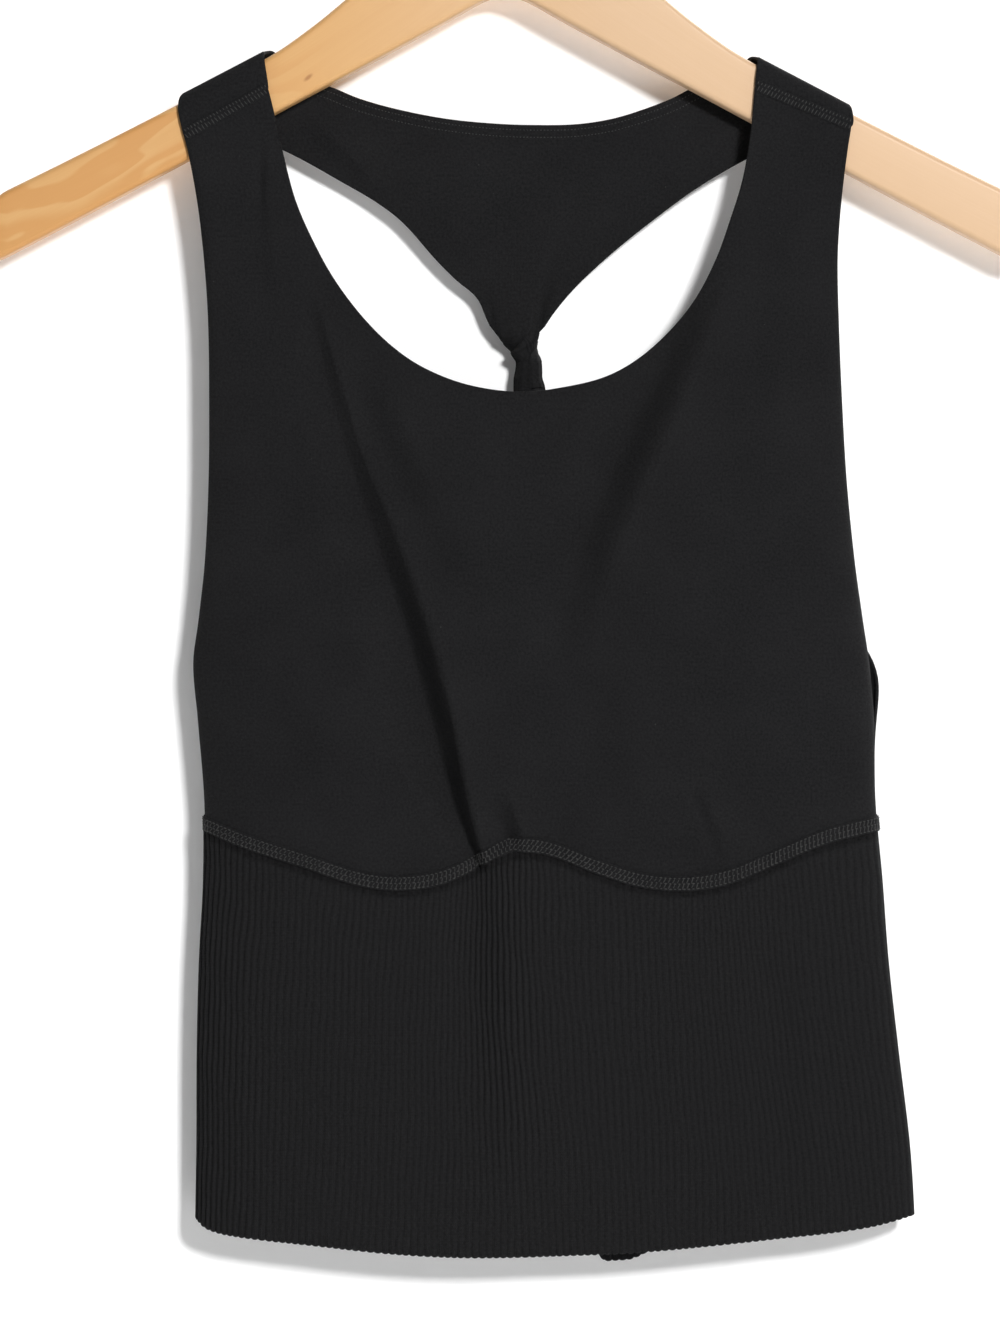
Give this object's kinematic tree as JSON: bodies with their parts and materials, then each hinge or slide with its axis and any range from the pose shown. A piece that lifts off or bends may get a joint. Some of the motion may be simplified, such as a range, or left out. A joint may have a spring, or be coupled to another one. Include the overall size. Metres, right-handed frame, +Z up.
{
  "type": "crop top on a hanger",
  "caption": "Sleeveless crop top with a scoop neck, a twisted racer back and a wide rib waist, on a flat wooden hanger.",
  "frame": {"origin": "inner top of the hanger's hook, where a rail carries it", "axes": "+Z up, -Y out of the front of the top, +X to the right of a viewer who faces the front"},
  "size_m": [0.4434, 0.0381, 0.6487],
  "materials": {
    "jersey": "matt black jersey",
    "rib_knit": "black rib knit",
    "hanger_wood": "pale lacquered wood",
    "hook_steel": "bright plated steel wire"
  },
  "bodies": {
    "root": {"front_bodice": "jersey", "back_bodice": "jersey", "front_rib": "rib_knit", "back_rib": "rib_knit", "hanger_body": "hanger_wood", "hanger_hook": "hook_steel"}
  },
  "joints": []
}
